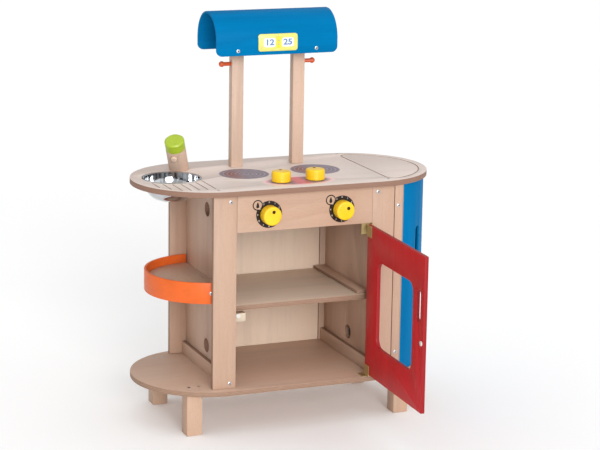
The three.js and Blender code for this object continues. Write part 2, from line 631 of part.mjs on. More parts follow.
function addCanopy() {
  const sheetShape = archShape(CANOPY_RADIUS, CANOPY_BOTTOM);
  const hollow = alongX(archShape(CANOPY_RADIUS - SHEET, CANOPY_BOTTOM - 10),
    -CANOPY_HALF_LENGTH - 1, CANOPY_HALF_LENGTH + 1);
  const sheet = cut(alongX(sheetShape, -CANOPY_HALF_LENGTH, CANOPY_HALF_LENGTH), hollow);
  const trim = facing(roundedRectangle(-CANOPY_HALF_LENGTH, CANOPY_HALF_LENGTH, CANOPY_BOTTOM,
    CANOPY_BOTTOM + 150, CANOPY_CORNER), 0, 200);
  add('canopy', common(sheet, trim), blueStain());

  for (const [side, x] of [['left', -POST_OUTER_X - GAP - BOARD], ['right', POST_OUTER_X + GAP]]) {
    const rib = alongX(archShape(CANOPY_RADIUS - SHEET - GAP, CANOPY_BOTTOM + 5), x, x + BOARD);
    add(`canopy_rib_${side}`, rib, blueStain());
  }

  const outer = alongX(archShape(CANOPY_RADIUS + GAP + CLOCK_THICKNESS, CANOPY_BOTTOM),
    -CLOCK_WIDTH, CLOCK_WIDTH);
  const inner = alongX(archShape(CANOPY_RADIUS + GAP, CANOPY_BOTTOM - 10), -CLOCK_WIDTH - 1, CLOCK_WIDTH + 1);
  const outline = facing(roundedRectangle(-CLOCK_WIDTH / 2, CLOCK_WIDTH / 2, CLOCK_BOTTOM, CLOCK_TOP, 6),
    CANOPY_Y - CANOPY_RADIUS - 10, 40);
  add('clock_panel', common(cut(outer, inner), outline), yellowLacquer());
}

addBase();
addWorktop();
addSink();
addTap();
addCarcass();
addControls();
addSideShelf();
addOvenDoor();
addCatch();
addFridgeDoor();
addPosts();
addCanopy();

const bounds = new THREE.Box3().setFromObject(kitchen, true);
kitchen.position.set(
  -(bounds.min.x + bounds.max.x) / 2,
  -(bounds.min.y + bounds.max.y) / 2,
  -bounds.min.z,
);

export default kitchen;
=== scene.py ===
"""A wooden toy kitchen: finished boards, knobs, sink, prints and screws in place of its plain solids.

Metres, +X to the right, +Y to the back, +Z up.
"""

import json
import math

import bpy
from mathutils import Matrix, Vector


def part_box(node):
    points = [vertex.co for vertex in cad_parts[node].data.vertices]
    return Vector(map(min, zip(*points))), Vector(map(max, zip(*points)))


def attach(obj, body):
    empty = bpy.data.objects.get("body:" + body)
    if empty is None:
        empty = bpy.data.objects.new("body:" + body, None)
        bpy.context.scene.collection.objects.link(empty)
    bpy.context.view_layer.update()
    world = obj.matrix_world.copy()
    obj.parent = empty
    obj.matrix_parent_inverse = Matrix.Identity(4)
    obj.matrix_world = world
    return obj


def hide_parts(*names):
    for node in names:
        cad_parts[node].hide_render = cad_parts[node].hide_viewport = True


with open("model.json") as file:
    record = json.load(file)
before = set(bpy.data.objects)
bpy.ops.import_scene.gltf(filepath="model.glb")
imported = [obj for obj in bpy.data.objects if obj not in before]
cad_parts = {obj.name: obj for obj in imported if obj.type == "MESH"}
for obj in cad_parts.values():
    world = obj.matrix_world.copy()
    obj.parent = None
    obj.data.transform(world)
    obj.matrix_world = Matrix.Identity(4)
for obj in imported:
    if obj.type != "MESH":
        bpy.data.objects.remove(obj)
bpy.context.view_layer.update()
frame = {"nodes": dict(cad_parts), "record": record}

MM = 0.001
FRONT = Vector((0, -1, 0))
UP = Vector((0, 0, 1))

BODY_OF = {node: body for body, nodes in frame["record"]["behaviour"]["bodies"].items() for node in nodes}

EDGE_LEAN = 0.6  # a face whose normal keeps less than this of the board's own direction is on its edge
BOARD_EDGE = 1.2 * MM  # radius of a sanded board's edges
SHEET_EDGE = 0.9 * MM
TIMBER_EDGE = 2 * MM
PLY_LAYERS = 3.2 * MM  # thickness of one light and one dark layer together
STAIN_ROUGHNESS = 0.42
BARE_EDGE = 1.2 * MM
BURNER_RADIUS = 57 * MM
BURNER_RING_PITCH = 9 * MM
BURNER_X = 87 * MM
BURNER_BEHIND_KNOBS = 106 * MM
PRINT_THICKNESS = 0.15 * MM
DIAL_RADIUS = 30.5 * MM
DIAL_MARK_CIRCLE = 27 * MM
DIAL_MARKS = 12
SYMBOL_ASIDE = 27 * MM
SYMBOL_ABOVE = 22 * MM
KNOB_SHOULDER = 4 * MM
KNOB_FOOT = 1.2 * MM
KNOB_DOT = 4 * MM
SINK_WALL = 1.2 * MM
SMALL_SCREW = 0.5
CLEAT_SCREW = 0.6
HINGE_HEIGHT = 26
LEAF = 1.4 * MM  # how far a leaf and its screw head stand off
RAIL_RADIUS = 140 * MM
RAIL_CENTRE_X = -178 * MM


# ---------------------------------------------------------------- working with pieces

def deselect():
    if bpy.context.object and bpy.context.object.mode != "OBJECT":
        bpy.ops.object.mode_set(mode="OBJECT")
    bpy.ops.object.select_all(action="DESELECT")


def take(piece):
    deselect()
    piece.select_set(True)
    bpy.context.view_layer.objects.active = piece


def name_piece(piece, name):
    piece.name = name
    piece.data.name = name
    return piece


def settle(piece):
    """Puts the piece's place, turn and scale into its mesh."""
    take(piece)
    bpy.ops.object.transform_apply(location=True, rotation=True, scale=True)


def modify(piece, kind, **settings):
    """Adds a modifier with these settings and applies it."""
    take(piece)
    modifier = piece.modifiers.new(kind.title(), kind)
    for key, value in settings.items():
        setattr(modifier, key, value)
    bpy.ops.object.modifier_apply(modifier=modifier.name)


def smooth(piece, degrees=32):
    take(piece)
    bpy.ops.object.shade_smooth_by_angle(angle=math.radians(degrees))


def round_over(piece, radius, segments=2, sharper_than=50):
    """Takes the sharpness off every edge that turns more than this many degrees."""
    modify(piece, "BEVEL", width=radius, segments=segments, limit_method="ANGLE",
           angle_limit=math.radians(sharper_than))
    smooth(piece)


def paint(piece, *materials):
    piece.data.materials.clear()
    for material in materials:
        piece.data.materials.append(material)


def paint_faces(piece, index, wanted):
    """Gives material number index to the faces for which wanted(face) is true."""
    for face in piece.data.polygons:
        if wanted(face):
            face.material_index = index


def stand_for(piece, *nodes):
    """The piece is shown in place of these solids, and moves as they do."""
    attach(piece, BODY_OF[nodes[0]])
    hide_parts(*nodes)


def belong_to(piece, node):
    """A detail that sits on a solid's piece and moves with it."""
    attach(piece, BODY_OF[node])


def cut_from_solid(node, name):
    """A clean copy of a solid's faces, ready to be finished."""
    source = frame["nodes"][node]
    deselect()
    piece = bpy.data.objects.new(name, source.data.copy())
    piece.data.name = name
    bpy.context.scene.collection.objects.link(piece)
    take(piece)
    bpy.ops.object.mode_set(mode="EDIT")
    bpy.ops.mesh.select_all(action="SELECT")
    bpy.ops.mesh.remove_doubles(threshold=0.004 * MM)
    bpy.ops.mesh.dissolve_limited(angle_limit=math.radians(0.4))
    bpy.ops.object.mode_set(mode="OBJECT")
    if "custom_normal" in piece.data.attributes:
        piece.data.attributes.remove(piece.data.attributes["custom_normal"])
    return piece


def finished(node, ending, radius, *materials, segments=2):
    """A copy of a solid with its edges rounded and its surface painted, shown in its place."""
    piece = cut_from_solid(node, node + ending)
    round_over(piece, radius, segments)
    paint(piece, *materials)
    stand_for(piece, node)
    return piece


def placed(piece, place, direction=UP, turn=0.0):
    """Stands a piece that was made at the origin, facing up, at its place and facing direction."""
    lean = UP.rotation_difference(Vector(direction).normalized()).to_matrix().to_4x4()
    spin = Matrix.Rotation(turn, 4, "Z")
    piece.data.transform(Matrix.Translation(place) @ lean @ spin)
    return piece


def copy_of(pattern, name):
    piece = pattern.copy()
    piece.data = pattern.data.copy()
    bpy.context.scene.collection.objects.link(piece)
    return name_piece(piece, name)


def turned(name, profile, steps=64):
    """A piece turned on a lathe about Z: profile points are (radius, height)."""
    deselect()
    bpy.ops.mesh.primitive_plane_add(size=MM)
    piece = name_piece(bpy.context.object, name)
    bpy.ops.object.mode_set(mode="EDIT")
    bpy.ops.mesh.select_mode(type="VERT")
    bpy.ops.mesh.select_all(action="SELECT")
    bpy.ops.mesh.merge(type="CENTER")
    bpy.ops.transform.translate(value=(profile[0][0], 0, profile[0][1]))
    for (radius, height), (next_radius, next_height) in zip(profile, profile[1:]):
        step = (next_radius - radius, 0, next_height - height)
        bpy.ops.mesh.extrude_region_move(TRANSFORM_OT_translate={"value": step})
    bpy.ops.mesh.select_all(action="SELECT")
    bpy.ops.mesh.spin(steps=steps, angle=2 * math.pi, center=(0, 0, 0), axis=(0, 0, 1))
    bpy.ops.mesh.select_all(action="SELECT")
    bpy.ops.mesh.remove_doubles(threshold=0.003 * MM)
    bpy.ops.mesh.normals_make_consistent(inside=False)
    bpy.ops.object.mode_set(mode="OBJECT")
    smooth(piece)
    return piece


def disc(name, radius, thickness, inner=0.0, sides=64):
    """A thin disc or ring lying on z = 0."""
    profile = [(inner, 0), (radius, 0), (radius, thickness), (inner, thickness)]
    if inner:
        profile.append((inner, 0))
    return turned(name, profile, sides)


def drilled(piece, place, direction, radius, depth, sides=24):
    """Drills a blind hole and gives its faces the piece's second material."""
    deselect()
    bpy.ops.mesh.primitive_cylinder_add(vertices=sides, radius=radius, depth=2 * depth)
    drill = placed(bpy.context.object, place, direction)
    modify(piece, "BOOLEAN", object=drill, operation="DIFFERENCE", solver="EXACT")
    bpy.data.objects.remove(drill)
    axis = Vector(direction).normalized()

    def in_hole(face):
        offset = face.center - Vector(place)
        along = offset.dot(axis)
        return -depth * 1.02 < along < -0.05 * MM and (offset - along * axis).length < radius * 1.02

    paint_faces(piece, 1, in_hole)


# ---------------------------------------------------------------- materials

def colour(red, green, blue):
    """Screen values from 0 to 255 as the linear colour that a shader takes."""
    def linear(value):
        value /= 255
        return value / 12.92 if value <= 0.04045 else ((value + 0.055) / 1.055) ** 2.4
    return (linear(red), linear(green), linear(blue), 1.0)


def shaded(base, share):
    return (base[0] * share, base[1] * share, base[2] * share, 1.0)


def new_material(name, roughness=0.5, metallic=0.0, specular=0.5):
    material = bpy.data.materials.new(name)
    material.use_nodes = True
    surface = material.node_tree.nodes["Principled BSDF"]
    surface.inputs["Roughness"].default_value = roughness
    surface.inputs["Metallic"].default_value = metallic
    surface.inputs["Specular IOR Level"].default_value = specular
    return material, material.node_tree, surface


def add(tree, kind, settings=None, **inputs):
    """A shader node: inputs are constants or other nodes' outputs, by socket name or number."""
    made = tree.nodes.new("ShaderNode" + kind)
    for key, value in (settings or {}).items():
        setattr(made, key, value)
    for key, value in inputs.items():
        socket = made.inputs[int(key[1:])] if key[1:].isdigit() else made.inputs[key.replace("_", " ")]
        if isinstance(value, bpy.types.NodeSocket):
            tree.links.new(value, socket)
        else:
            socket.default_value = value
    return made


def math_node(tree, operation, first, second=0.0):
    return add(tree, "Math", {"operation": operation}, i0=first, i1=second).outputs[0]


def object_place(tree, centre=(0, 0, 0), scale=(1, 1, 1), turn=(0, 0, 0)):
    """Object coordinates, measured from centre and then turned and scaled."""
    coordinates = add(tree, "TexCoord").outputs["Object"]
    moved = add(tree, "VectorMath", {"operation": "SUBTRACT"}, i0=coordinates, i1=centre).outputs[0]
    return add(tree, "Mapping", Vector=moved, Rotation=turn, Scale=scale).outputs[0]


def noise(tree, vector, scale=1.0, detail=4.0, roughness=0.55, distortion=0.0):
    return add(tree, "TexNoise", Vector=vector, Scale=scale, Detail=detail, Roughness=roughness,
               Distortion=distortion).outputs["Fac"]


def ramp(tree, value, *stops):
    """Blends colours along value: each stop is (position, colour)."""
    made = add(tree, "ValToRGB", Fac=value)
    band = made.color_ramp
    while len(band.elements) < len(stops):
        band.elements.new(0.5)
    for element, (position, tone) in zip(band.elements, stops):
        element.position = position
        element.color = tone
    return made.outputs["Color"]


def blend(tree, share, first, second):
    return add(tree, "Mix", {"data_type": "RGBA", "blend_type": "MIX"}, i0=share, i6=first,
               i7=second).outputs[2]


def spread(tree, value, low, high, from_low=0.0, from_high=1.0):
    return add(tree, "MapRange", Value=value, From_Min=from_low, From_Max=from_high,
               To_Min=low, To_Max=high).outputs[0]


def bump(tree, surface, height, strength, depth):
    made = add(tree, "Bump", Strength=strength, Distance=depth, Height=height)
    tree.links.new(made.outputs[0], surface.inputs["Normal"])


def grain_scales(along, share=1.0, stretch=1.0):
    across = 42.0 * share
    length = 3.0 * share * stretch
    return tuple(length if axis == along else across for axis in "xyz")


def wood(name, tone, along="z", seed=0, contrast=1.0, rough=0.5):
    """Lacquered pale wood with long soft streaks, fine fibres and short dark flecks."""
    material, tree, surface = new_material(name, specular=0.4)
    shift = (0.37 * seed, 0.61 * seed, -0.23 * seed)
    streaks = noise(tree, object_place(tree, shift, grain_scales(along)), 1.0, 5, 0.6, 0.5)
    fibres = noise(tree, object_place(tree, shift, grain_scales(along, 13)), 1.0, 3, 0.5)
    patches = noise(tree, object_place(tree, shift, grain_scales(along, 0.16, 1.6)), 1.0, 2, 0.5, 0.8)
    flecks = noise(tree, object_place(tree, shift, grain_scales(along, 24, 2.4)), 1.0, 1, 0.4)
    dark = shaded(tone, 1 - 0.16 * contrast)
    light = shaded(tone, 1 + 0.06 * contrast)
    warm = (tone[0] * 1.02, tone[1] * (1 - 0.05 * contrast), tone[2] * (1 - 0.09 * contrast), 1)
    body = ramp(tree, streaks, (0.33, dark), (0.52, tone), (0.7, light))
    body = blend(tree, spread(tree, patches, 0, 0.75, 0.42, 0.62), body, warm)
    body = blend(tree, spread(tree, fibres, 0, 0.16 * contrast, 0.45, 0.7), body, shaded(tone, 0.72))
    body = blend(tree, spread(tree, flecks, 0, 0.35 * contrast, 0.66, 0.74), body, shaded(tone, 0.55))
    tree.links.new(body, surface.inputs["Base Color"])
    tree.links.new(spread(tree, fibres, rough - 0.06, rough + 0.08, 0.3, 0.7), surface.inputs["Roughness"])
    bump(tree, surface, fibres, 0.12, 0.15 * MM)
    return material


def ply_edge(name, tone, across="z", origin=0.0, seed=0, contrast=1.0):
    """The sawn edge of plywood: thin layers, alternately end grain and long grain."""
    material, tree, surface = new_material(name, specular=0.3)
    place = object_place(tree, (0, 0, 0))
    parts = add(tree, "SeparateXYZ", Vector=place)
    depth = parts.outputs["xyz".index(across)]
    layer = math_node(tree, "MULTIPLY", math_node(tree, "SUBTRACT", depth, origin), 2 * math.pi / PLY_LAYERS)
    stripe = math_node(tree, "SINE", layer)
    wobble = noise(tree, object_place(tree, (seed, 0, 0), (70, 70, 70)), 1.0, 3)
    speck = noise(tree, object_place(tree, (seed, 0, 0), (900, 900, 900)), 1.0, 2)
    mixed = math_node(tree, "ADD", stripe, spread(tree, wobble, -0.7, 0.7))
    body = ramp(tree, spread(tree, mixed, 0, 1, -1.2, 1.2), (0.25, shaded(tone, 1 - 0.26 * contrast)),
                (0.6, tone), (0.9, shaded(tone, 1 + 0.14 * contrast)))
    body = blend(tree, spread(tree, speck, 0, 0.4, 0.5, 0.75), body, shaded(tone, 0.6))
    tree.links.new(body, surface.inputs["Base Color"])
    tree.links.new(spread(tree, speck, 0.5, 0.72), surface.inputs["Roughness"])
    bump(tree, surface, speck, 0.2, 0.1 * MM)
    return material


def stained(name, tone, along="z", seed=0, specular=0.3):
    """Stained and lacquered plywood: the grain shows faintly through the colour."""
    material, tree, surface = new_material(name, specular=specular)
    shift = (0.41 * seed, -0.29 * seed, 0.53 * seed)
    streaks = noise(tree, object_place(tree, shift, grain_scales(along)), 1.0, 4, 0.6, 0.6)
    fibres = noise(tree, object_place(tree, shift, grain_scales(along, 13)), 1.0, 3, 0.5)
    clouds = noise(tree, object_place(tree, shift, (9, 9, 9)), 1.0, 3, 0.5)
    body = ramp(tree, streaks, (0.3, shaded(tone, 0.88)), (0.55, tone), (0.75, shaded(tone, 1.07)))
    body = blend(tree, spread(tree, clouds, 0, 0.2, 0.4, 0.7), body, shaded(tone, 0.8))
    body = blend(tree, spread(tree, fibres, 0, 0.14, 0.5, 0.72), body, shaded(tone, 0.6))
    tree.links.new(body, surface.inputs["Base Color"])
    tree.links.new(spread(tree, fibres, STAIN_ROUGHNESS - 0.05, STAIN_ROUGHNESS + 0.07, 0.3, 0.7),
                   surface.inputs["Roughness"])
    bump(tree, surface, fibres, 0.1, 0.12 * MM)
    return material


def lacquer(name, tone, rough=0.35, seed=0):
    """Thick coloured lacquer on turned wood, with a slightly uneven surface."""
    material, tree, surface = new_material(name, specular=0.5)
    surface.inputs["Coat Weight"].default_value = 0.25
    surface.inputs["Coat Roughness"].default_value = 0.25
    clouds = noise(tree, object_place(tree, (seed, 0, 0), (60, 60, 60)), 1.0, 3)
    ripple = noise(tree, object_place(tree, (seed, 0, 0), (260, 260, 260)), 1.0, 2)
    body = ramp(tree, clouds, (0.3, shaded(tone, 0.92)), (0.65, shaded(tone, 1.04)))
    tree.links.new(body, surface.inputs["Base Color"])
    tree.links.new(spread(tree, ripple, rough - 0.05, rough + 0.08, 0.3, 0.7), surface.inputs["Roughness"])
    bump(tree, surface, ripple, 0.08, 0.2 * MM)
    return material


def metal(name, tone, rough=0.3, brush=(300, 300, 300), marks=0.12):
    """Bare metal with fine rubbing marks and a few duller spots."""
    material, tree, surface = new_material(name, metallic=1.0)
    lines = noise(tree, object_place(tree, (0, 0, 0), brush), 1.0, 3)
    spots = noise(tree, object_place(tree, (0, 0, 0), (45, 45, 45)), 1.0, 4)
    body = ramp(tree, spots, (0.3, shaded(tone, 0.85)), (0.7, shaded(tone, 1.05)))
    tree.links.new(body, surface.inputs["Base Color"])
    mixed = math_node(tree, "MULTIPLY", lines, spots)
    tree.links.new(spread(tree, mixed, rough - marks / 2, rough + marks, 0.1, 0.45),
                   surface.inputs["Roughness"])
    bump(tree, surface, lines, 0.05, 0.05 * MM)
    return material


def ink(name, tone, rough=0.5, worn=0.12):
    """A printed colour, slightly uneven where the ink is thin."""
    material, tree, surface = new_material(name, specular=0.35)
    thin = noise(tree, object_place(tree, (0, 0, 0), (420, 420, 420)), 1.0, 3)
    body = blend(tree, spread(tree, thin, 0, worn, 0.4, 0.75), tone, shaded(tone, 1.5))
    tree.links.new(body, surface.inputs["Base Color"])
    tree.links.new(spread(tree, thin, rough - 0.06, rough + 0.06), surface.inputs["Roughness"])
    return material


BEECH = colour(184, 154, 132)
BIRCH = colour(180, 151, 131)
POST = colour(197, 170, 151)
BIRCH_DEEP = colour(192, 162, 142)
BIRCH_PALE = colour(216, 196, 176)
EDGE = colour(152, 122, 102)
TOP = colour(214, 199, 190)
TOP_EDGE = colour(138, 106, 90)
RED = colour(186, 24, 32)
BLUE = colour(0, 107, 160)
ORANGE = colour(218, 98, 36)
PEG_ORANGE = colour(200, 76, 26)
GREEN = colour(158, 180, 36)
YELLOW = colour(236, 190, 0)
CLOCK_PALE = colour(208, 205, 106)
CLOCK_BRIGHT = colour(220, 202, 36)
WHITE = colour(224, 224, 220)
DIGIT = colour(92, 128, 176)
BLACK = colour(26, 14, 10)
BRASS = colour(206, 186, 134)
STEEL = colour(200, 202, 205)
# darker steel painted into the screws' cross recesses: painted shade
RECESS_SHADE_STEEL = colour(120, 116, 112)
CATCH = colour(196, 182, 162)
GROOVE = colour(176, 154, 140)
SPOUT = colour(218, 192, 172)
# dark brown painted inside the knobs' pointer holes: painted shade
HOLE_SHADE_BROWN = colour(70, 46, 8)
DIAL_WHITE = colour(196, 184, 172)
MAGNET_WHITE = colour(206, 202, 196)


# ---------------------------------------------------------------- boards

def thickness_axis(node):
    low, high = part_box(node)
    sides = high - low
    return "xyz"[min(range(3), key=lambda i: sides[i])]


def board(node, tone=BIRCH, along="z", seed=0, radius=BOARD_EDGE, across=None, contrast=1.0):
    """A plywood board in place of its solid: rounded edges, grain on its faces, layers on its edges."""
    across = across or thickness_axis(node)
    axis = "xyz".index(across)
    piece = finished(node, "_board", radius, wood(node + "_face", tone, along, seed, contrast),
                     ply_edge(node + "_edge", EDGE, across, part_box(node)[0][axis], seed))
    paint_faces(piece, 1, lambda face: abs(face.normal[axis]) < EDGE_LEAN)


def build_carcass():
    for index, node in enumerate(["stile_front_left", "stile_front_right", "stile_rear_left",
                                  "stile_rear_right"]):
        board(node, along="z", seed=index + 1)
    board("side_panel_left", BIRCH_DEEP, along="z", seed=6, contrast=0.6)
    board("side_panel_right", BIRCH_DEEP, along="z", seed=7, contrast=0.6)
    board("back_panel", BIRCH_PALE, along="z", seed=8, radius=0.6 * MM, contrast=0.5)
    board("control_panel", along="x", seed=9)
    board("middle_shelf", BIRCH_PALE, along="x", seed=10, contrast=0.6)
    board("base_plate", BIRCH_DEEP, along="x", seed=11, contrast=0.6)
    board("side_shelf", along="y", seed=12, across="z")
    for index, node in enumerate(["base_cleat_left", "base_cleat_right", "side_shelf_cleat",
                                  "shelf_cleat_right"]):
        board(node, BIRCH_DEEP, along="y", seed=13 + index)
    board("fridge_door_front_batten", along="z", seed=17)
    board("fridge_door_rear_batten", along="z", seed=18)
    board("catch_block", CATCH, along="x", seed=19, across="y")


def build_timber():
    for index, node in enumerate(["leg_front_left", "leg_front_right", "leg_rear_left", "leg_rear_right"]):
        finished(node, "_timber", TIMBER_EDGE, wood(node + "_wood", BEECH, "z", 20 + index))
    for index, node in enumerate(["post_left", "post_right"]):
        finished(node, "_timber", TIMBER_EDGE, wood(node + "_wood", POST, "z", 25 + index))


def build_stained_boards():
    door = finished("oven_door", "_panel", BOARD_EDGE, stained("oven_door_red", RED, "z", 30),
                    stained("oven_door_red_edge", shaded(RED, 0.6), "z", 31))
    paint_faces(door, 1, lambda face: abs(face.normal.x) < EDGE_LEAN)

    for node, along in (("fridge_door_shell", "z"), ("canopy", "x"), ("canopy_rib_left", "z"),
                        ("canopy_rib_right", "z")):
        piece = finished(node, "_blue", SHEET_EDGE,
                         stained(node + "_stain", BLUE, along, 32 + len(node), specular=0.02))
        if node == "fridge_door_shell":
            bare_shell_ends(piece)

    finished("side_shelf_rail", "_orange", SHEET_EDGE, stained("side_shelf_rail_stain", ORANGE, "y", 45))


def bare_shell_ends(piece):
    """Leaves the ends of the bent sheet unstained where they meet the battens."""
    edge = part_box("fridge_door_shell")[0].x + BARE_EDGE
    take(piece)
    bpy.ops.object.mode_set(mode="EDIT")
    bpy.ops.mesh.select_all(action="SELECT")
    bpy.ops.mesh.bisect(plane_co=(edge, 0, 0), plane_no=(1, 0, 0))
    bpy.ops.object.mode_set(mode="OBJECT")
    piece.data.materials.append(wood("fridge_door_shell_bare", BEECH, "z", 46))
    paint_faces(piece, 1, lambda face: face.center.x < edge)
    smooth(piece)


# ---------------------------------------------------------------- worktop and prints

def build_worktop():
    low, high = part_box("worktop")
    piece = finished("worktop", "_top", 1.0 * MM,
                     wood("worktop_print_base", TOP, "x", 2, contrast=0.45, rough=0.42),
                     ply_edge("worktop_edge", TOP_EDGE, "z", low.z, 2, 0.4),
                     wood("groove_shadow", GROOVE, "x", 3))
    paint_faces(piece, 1, lambda face: abs(face.normal.z) < EDGE_LEAN)
    paint_faces(piece, 2, lambda face: low.z + 2 * MM < face.center.z < high.z - 0.9 * MM
                and inside_edge(face.center))


def inside_edge(point, margin=8 * MM):
    """Whether a point of the worktop lies well inside its round-ended outline."""
    low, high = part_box("worktop")
    radius = (high.y - low.y) / 2
    middle = (high + low) / 2
    reach = abs(point.x - middle.x) - ((high.x - low.x) / 2 - radius)
    return math.hypot(max(reach, 0), point.y - middle.y) < radius - margin


def burner_ink(name, centre):
    """A dark ring burner: fine pale rings, and a red-brown painted reflection on its left side."""
    material, tree, surface = new_material(name, roughness=0.45, specular=0.4)
    place = object_place(tree, centre)
    distance = add(tree, "VectorMath", {"operation": "LENGTH"}, i0=place).outputs["Value"]
    parts = add(tree, "SeparateXYZ", Vector=place)
    rings = math_node(tree, "SINE", math_node(tree, "MULTIPLY", distance, 2 * math.pi / BURNER_RING_PITCH))
    fine = spread(tree, rings, 0, 0.55, 0.5, 1.0)
    mottled = noise(tree, object_place(tree, centre, (60, 60, 60)), 1.0, 3)
    base = ramp(tree, mottled, (0.35, colour(104, 90, 102)), (0.65, colour(130, 116, 128)))
    # painted reflection: each burner's left side is blended towards red-brown
    reflection_side = spread(tree, parts.outputs[0], 1, 0, -30 * MM, -2 * MM)
    painted_reflection = math_node(tree, "MULTIPLY", reflection_side, spread(tree, distance, 1, 0, 40 * MM, 52 * MM))
    body = blend(tree, math_node(tree, "MULTIPLY", painted_reflection, 0.85), base, colour(126, 70, 60))
    body = blend(tree, fine, body, colour(190, 172, 176))
    body = blend(tree, spread(tree, distance, 0, 1, 54 * MM, 55.5 * MM), body, colour(150, 136, 140))
    tree.links.new(body, surface.inputs["Base Color"])
    return material


def hob_ink(name, centre, half_length, half_width):
    """The hob's printed field: grey under each knob, red between them, and a pink rim."""
    material, tree, surface = new_material(name, roughness=0.45, specular=0.4)
    place = object_place(tree, centre)
    parts = add(tree, "SeparateXYZ", Vector=place)
    side = math_node(tree, "ABSOLUTE", parts.outputs[0])
    across = math_node(tree, "DIVIDE", side, half_length)
    along = math_node(tree, "DIVIDE", parts.outputs[1], half_width)
    reach = math_node(tree, "ADD", math_node(tree, "POWER", across, 2.6),
                      math_node(tree, "POWER", math_node(tree, "ABSOLUTE", along), 2.0))
    mottled = noise(tree, object_place(tree, centre, (70, 70, 70)), 1.0, 3)
    grey = ramp(tree, mottled, (0.35, colour(120, 98, 108)), (0.65, colour(150, 124, 132)))
    red = ramp(tree, mottled, (0.35, colour(198, 100, 104)), (0.65, colour(214, 126, 130)))
    body = blend(tree, spread(tree, side, 1, 0, 8 * MM, 24 * MM), grey, red)
    body = blend(tree, spread(tree, reach, 0, 1, 0.45, 0.8), body, colour(240, 196, 196))
    body = blend(tree, spread(tree, reach, 0, 1, 0.8, 1.0), body, TOP)
    tree.links.new(body, surface.inputs["Base Color"])
    return material


def build_prints():
    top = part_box("worktop")[1].z
    knob_left = (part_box("hob_knob_left")[0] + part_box("hob_knob_left")[1]) / 2
    knob_right = (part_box("hob_knob_right")[0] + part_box("hob_knob_right")[1]) / 2
    hob_centre = (knob_left + knob_right) / 2
    burner_y = hob_centre.y + BURNER_BEHIND_KNOBS
    for side, sign in (("left", -1), ("right", 1)):
        centre = Vector((sign * BURNER_X, burner_y, top))
        burner = placed(disc("burner_print_" + side, BURNER_RADIUS, PRINT_THICKNESS), centre)
        paint(burner, burner_ink("burner_ink_" + side, centre))
        belong_to(burner, "worktop")

    centre = Vector((hob_centre.x + 1 * MM, hob_centre.y, top))
    field = disc("hob_print", 1.0, 0.1 * MM)
    field.data.transform(Matrix.Diagonal((88 * MM, 50 * MM, 1, 1)))
    placed(field, centre)
    paint(field, hob_ink("hob_ink", centre, 86 * MM, 48 * MM))
    belong_to(field, "worktop")


# ---------------------------------------------------------------- knobs and dials

def knob(node, direction, dot_x, dot_y):
    """A yellow turned knob with a soft shoulder and a drilled pointer hole, placed in mm from its middle,
    its faces painted dark brown as painted shade.
    """
    low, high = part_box(node)
    axis = 2 if direction == UP else 1
    across = (axis + 1) % 3
    radius = (high[across] - low[across]) / 2
    height = high[axis] - low[axis]
    foot = (low + high) / 2 - direction * height / 2
    profile = [(0, 0), (radius - KNOB_FOOT, 0), (radius, KNOB_FOOT), (radius, height - KNOB_SHOULDER)]
    for step in range(1, 9):
        angle = step / 8 * math.pi / 2
        profile.append((radius - KNOB_SHOULDER * (1 - math.cos(angle)),
                        height - KNOB_SHOULDER * (1 - math.sin(angle))))
    profile.append((0, height))
    piece = turned(node + "_turned", profile, 64)
    # the second material is painted shade: dark brown for the inside of the drilled pointer hole
    paint(piece, lacquer(node + "_yellow", YELLOW, 0.38, len(node)), ink(node + "_dot", HOLE_SHADE_BROWN))
    drilled(piece, Vector((dot_x * MM, dot_y * MM, height)), UP, KNOB_DOT, KNOB_DOT)
    smooth(piece)
    if axis == 1:
        front_print(piece, foot.x, foot.z, foot.y)
    else:
        placed(piece, foot)
    stand_for(piece, node)


def front_print(piece, x, z, y):
    """Turns a piece made on z = 0 to face the front, and puts it at x, z on the plane y."""
    piece.data.transform(Matrix.Translation((x, y, z)) @ Matrix.Rotation(math.pi / 2, 4, "X"))
    return piece


def numeral(name, text, size, weight, material):
    """A raised figure, centred on the origin and lying on z = 0."""
    deselect()
    bpy.ops.object.text_add()
    writing = bpy.context.object
    writing.data.body = text
    writing.data.align_x = "CENTER"
    writing.data.align_y = "CENTER"
    writing.data.size = size
    writing.data.offset = weight
    writing.data.extrude = 0.05 * MM
    bpy.ops.object.convert(target="MESH")
    piece = name_piece(bpy.context.object, name)
    settle(piece)
    modify(piece, "WELD", merge_threshold=0.002 * MM)
    paint(piece, material)
    return piece


